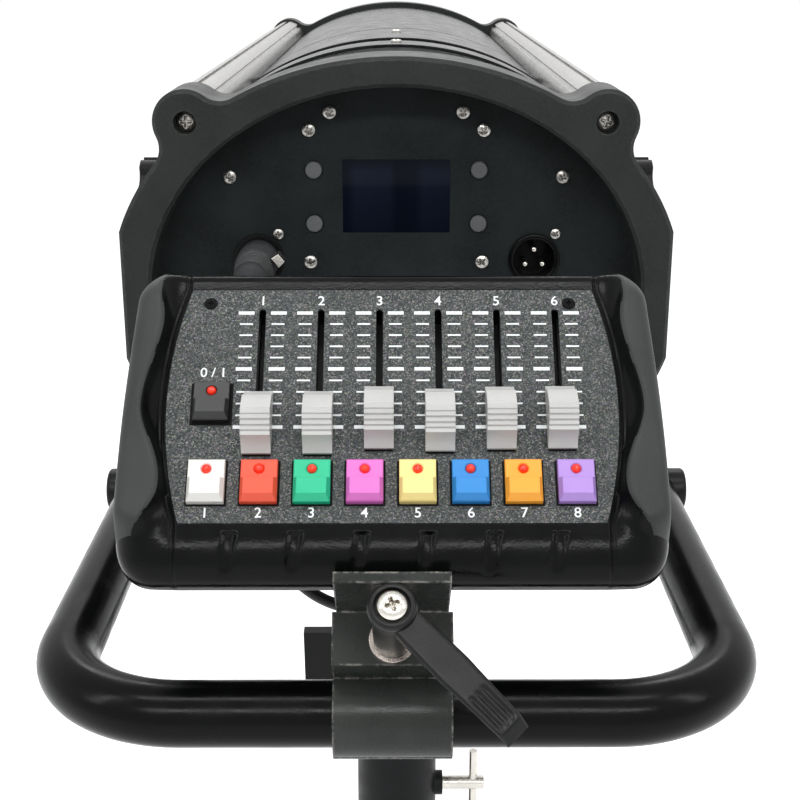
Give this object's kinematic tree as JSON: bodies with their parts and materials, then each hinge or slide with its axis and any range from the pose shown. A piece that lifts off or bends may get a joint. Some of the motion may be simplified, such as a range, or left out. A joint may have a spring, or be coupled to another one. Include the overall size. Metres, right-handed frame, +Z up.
{
  "type": "follow spot",
  "caption": "LED follow spot on a yoke, with a U handle that carries a tilting fader and colour-key console.",
  "frame": {"origin": "centre of the stand socket's open lower end, on the pan axis", "axes": "+Y along the beam, +Z up the pan axis, +X to the operator's right"},
  "size_m": [0.3292, 0.9809, 0.605],
  "materials": {
    "black_textured_coat": "fine textured powder coat",
    "black_cast_coat": "cast, fine textured powder coat",
    "black_smooth_coat": "semi-gloss powder coat, chipped on edges",
    "grey_panel_coat": "fine textured matt",
    "black_abs": "moulded, fine spark texture",
    "panel_overlay": "printed, speckled matt film",
    "grey_cap": "satin moulded",
    "black_knob": "moulded",
    "nickel_screw": "bright nickel",
    "steel": "brushed",
    "raw_aluminium": "mill finish",
    "silver_rail": "dark anodised extrusion",
    "black_anodised": "black anodised",
    "display_glass": "glossy dark window",
    "optical_glass": "polished",
    "filter_glass": "dichroic coated",
    "board_green": "solder resist",
    "lead_rubber": "matt flexible",
    "key_white": "satin moulded",
    "key_red": "satin moulded",
    "key_green": "satin moulded",
    "key_pink": "satin moulded",
    "key_yellow": "satin moulded",
    "key_blue": "satin moulded",
    "key_orange": "satin moulded",
    "key_violet": "satin moulded",
    "key_black": "satin moulded"
  },
  "bodies": {
    "stand": {"stand_socket": "black_cast_coat"},
    "head": {"corner_rails": "silver_rail", "display": "display_glass", "driver_box": "raw_aluminium", "fan_frame": "black_knob", "front_frame": "black_cast_coat", "front_lens": "optical_glass", "handle_bolts": "black_knob", "handle_tube": "black_smooth_coat", "heat_sink": "raw_aluminium", "lead": "lead_rubber", "lead_plug": "lead_rubber", "led_module": "raw_aluminium", "lens_tube": "black_cast_coat", "lower_cover": "black_textured_coat", "machine_screws": "nickel_screw", "optics_frame": "raw_aluminium", "rear_connectors": "black_abs", "rear_frame": "black_cast_coat", "rear_panel": "grey_panel_coat", "side_brackets": "black_smooth_coat", "top_cover": "black_textured_coat", "top_slats": "black_textured_coat"},
    "console": {"circuit_board": "board_green", "clamp_jaw": "black_anodised", "clamp_stud": "nickel_screw", "console_base": "black_abs", "console_bracket": "black_anodised", "console_panel": "panel_overlay", "console_top": "black_abs"},
    "clamp_lever": {"clamp_lever": "black_knob"},
    "color_key_1": {"color_key_1": "key_white"},
    "color_key_2": {"color_key_2": "key_red"},
    "color_key_3": {"color_key_3": "key_green"},
    "color_key_4": {"color_key_4": "key_pink"},
    "color_key_5": {"color_key_5": "key_yellow"},
    "color_key_6": {"color_key_6": "key_blue"},
    "color_key_7": {"color_key_7": "key_orange"},
    "color_key_8": {"color_key_8": "key_violet"},
    "color_wheel": {"color_wheel": "filter_glass"},
    "fader_cap_1": {"fader_cap_1": "grey_cap"},
    "fader_cap_2": {"fader_cap_2": "grey_cap"},
    "fader_cap_3": {"fader_cap_3": "grey_cap"},
    "fader_cap_4": {"fader_cap_4": "grey_cap"},
    "fader_cap_5": {"fader_cap_5": "grey_cap"},
    "fader_cap_6": {"fader_cap_6": "grey_cap"},
    "fan_rotor": {"fan_rotor": "black_knob"},
    "focus_carriage": {"focus_carriage": "black_anodised"},
    "iris_ring": {"iris_ring": "black_anodised"},
    "lamp_key": {"lamp_key": "key_black"},
    "menu_button_1": {"menu_button_1": "grey_cap"},
    "menu_button_2": {"menu_button_2": "grey_cap"},
    "menu_button_3": {"menu_button_3": "grey_cap"},
    "menu_button_4": {"menu_button_4": "grey_cap"},
    "pan_lever": {"pan_lever": "black_knob"},
    "t_bolt": {"t_bolt": "steel"},
    "tilt_knob_left": {"tilt_knob_left": "black_knob"},
    "tilt_knob_right": {"tilt_knob_right": "black_knob"},
    "yoke": {"yoke": "black_textured_coat"},
    "zoom_carriage": {"zoom_carriage": "black_anodised"}
  },
  "joints": [
    {"name": "pan", "type": "hinge", "parent": "stand", "child": "yoke", "pos_m": [0, 0, 0.1], "axis": [0, 0, 1], "continuous": true},
    {"name": "tilt", "type": "hinge", "parent": "yoke", "child": "head", "pos_m": [0, 0, 0.5], "axis": [1, 0, 0], "range_deg": [-45, 45]},
    {"name": "tilt_knob_left_turn", "type": "hinge", "parent": "yoke", "child": "tilt_knob_left", "pos_m": [-0.15, 0, 0.5], "axis": [-1, 0, 0], "continuous": true},
    {"name": "tilt_knob_right_turn", "type": "hinge", "parent": "yoke", "child": "tilt_knob_right", "pos_m": [0.15, 0, 0.5], "axis": [1, 0, 0], "continuous": true},
    {"name": "t_bolt_turn", "type": "hinge", "parent": "stand", "child": "t_bolt", "pos_m": [0.04, 0, 0.053], "axis": [1, 0, 0], "continuous": true},
    {"name": "pan_brake_turn", "type": "hinge", "parent": "stand", "child": "pan_lever", "pos_m": [-0.04, 0, 0.115], "axis": [1, 0, 0], "range_deg": [-40, 40]},
    {"name": "console_tilt", "type": "hinge", "parent": "head", "child": "console", "pos_m": [0, -0.45, 0.3767], "axis": [1, 0, 0], "range_deg": [0, 50]},
    {"name": "clamp_lever_turn", "type": "hinge", "parent": "console", "child": "clamp_lever", "pos_m": [-0.0015, -0.46435, 0.41675], "axis": [0, -0.7254, 0.6884], "range_deg": [-60, 40]},
    {"name": "fader_1_slide", "type": "slide", "parent": "console", "child": "fader_cap_1", "axis": [0, 0.6884, 0.7254], "range_m": [0, 0.045]},
    {"name": "fader_2_slide", "type": "slide", "parent": "console", "child": "fader_cap_2", "axis": [0, 0.6884, 0.7254], "range_m": [0, 0.045]},
    {"name": "fader_3_slide", "type": "slide", "parent": "console", "child": "fader_cap_3", "axis": [0, 0.6884, 0.7254], "range_m": [-0.002, 0.043]},
    {"name": "fader_4_slide", "type": "slide", "parent": "console", "child": "fader_cap_4", "axis": [0, 0.6884, 0.7254], "range_m": [-0.001, 0.044]},
    {"name": "fader_5_slide", "type": "slide", "parent": "console", "child": "fader_cap_5", "axis": [0, 0.6884, 0.7254], "range_m": [-0.0018, 0.0432]},
    {"name": "fader_6_slide", "type": "slide", "parent": "console", "child": "fader_cap_6", "axis": [0, 0.6884, 0.7254], "range_m": [-0.002, 0.043]},
    {"name": "color_key_1_press", "type": "slide", "parent": "console", "child": "color_key_1", "axis": [0, 0.7254, -0.6884], "range_m": [0, 0.0015], "stiffness_N_per_m": 400, "springref_m": -0.001},
    {"name": "color_key_2_press", "type": "slide", "parent": "console", "child": "color_key_2", "axis": [0, 0.7254, -0.6884], "range_m": [0, 0.0015], "stiffness_N_per_m": 400, "springref_m": -0.001},
    {"name": "color_key_3_press", "type": "slide", "parent": "console", "child": "color_key_3", "axis": [0, 0.7254, -0.6884], "range_m": [0, 0.0015], "stiffness_N_per_m": 400, "springref_m": -0.001},
    {"name": "color_key_4_press", "type": "slide", "parent": "console", "child": "color_key_4", "axis": [0, 0.7254, -0.6884], "range_m": [0, 0.0015], "stiffness_N_per_m": 400, "springref_m": -0.001},
    {"name": "color_key_5_press", "type": "slide", "parent": "console", "child": "color_key_5", "axis": [0, 0.7254, -0.6884], "range_m": [0, 0.0015], "stiffness_N_per_m": 400, "springref_m": -0.001},
    {"name": "color_key_6_press", "type": "slide", "parent": "console", "child": "color_key_6", "axis": [0, 0.7254, -0.6884], "range_m": [0, 0.0015], "stiffness_N_per_m": 400, "springref_m": -0.001},
    {"name": "color_key_7_press", "type": "slide", "parent": "console", "child": "color_key_7", "axis": [0, 0.7254, -0.6884], "range_m": [0, 0.0015], "stiffness_N_per_m": 400, "springref_m": -0.001},
    {"name": "color_key_8_press", "type": "slide", "parent": "console", "child": "color_key_8", "axis": [0, 0.7254, -0.6884], "range_m": [0, 0.0015], "stiffness_N_per_m": 400, "springref_m": -0.001},
    {"name": "lamp_key_press", "type": "slide", "parent": "console", "child": "lamp_key", "axis": [0, 0.7254, -0.6884], "range_m": [0, 0.0015], "stiffness_N_per_m": 400, "springref_m": -0.001},
    {"name": "menu_button_1_press", "type": "slide", "parent": "head", "child": "menu_button_1", "axis": [0, 1, 0], "range_m": [0, 0.0008], "stiffness_N_per_m": 500, "springref_m": -0.0008},
    {"name": "menu_button_2_press", "type": "slide", "parent": "head", "child": "menu_button_2", "axis": [0, 1, 0], "range_m": [0, 0.0008], "stiffness_N_per_m": 500, "springref_m": -0.0008},
    {"name": "menu_button_3_press", "type": "slide", "parent": "head", "child": "menu_button_3", "axis": [0, 1, 0], "range_m": [0, 0.0008], "stiffness_N_per_m": 500, "springref_m": -0.0008},
    {"name": "menu_button_4_press", "type": "slide", "parent": "head", "child": "menu_button_4", "axis": [0, 1, 0], "range_m": [0, 0.0008], "stiffness_N_per_m": 500, "springref_m": -0.0008},
    {"name": "color_wheel_turn", "type": "hinge", "parent": "head", "child": "color_wheel", "pos_m": [-0.044, -0.104, 0.5], "axis": [0, 1, 0], "continuous": true},
    {"name": "iris_turn", "type": "hinge", "parent": "head", "child": "iris_ring", "pos_m": [0, -0.08, 0.5], "axis": [0, 1, 0], "range_deg": [0, 60]},
    {"name": "focus_slide", "type": "slide", "parent": "head", "child": "focus_carriage", "axis": [0, 1, 0], "range_m": [-0.01, 0.05]},
    {"name": "zoom_slide", "type": "slide", "parent": "head", "child": "zoom_carriage", "axis": [0, 1, 0], "range_m": [-0.02, 0.13]},
    {"name": "fan_spin", "type": "hinge", "parent": "head", "child": "fan_rotor", "pos_m": [0, -0.24, 0.5], "axis": [0, 1, 0], "continuous": true}
  ]
}
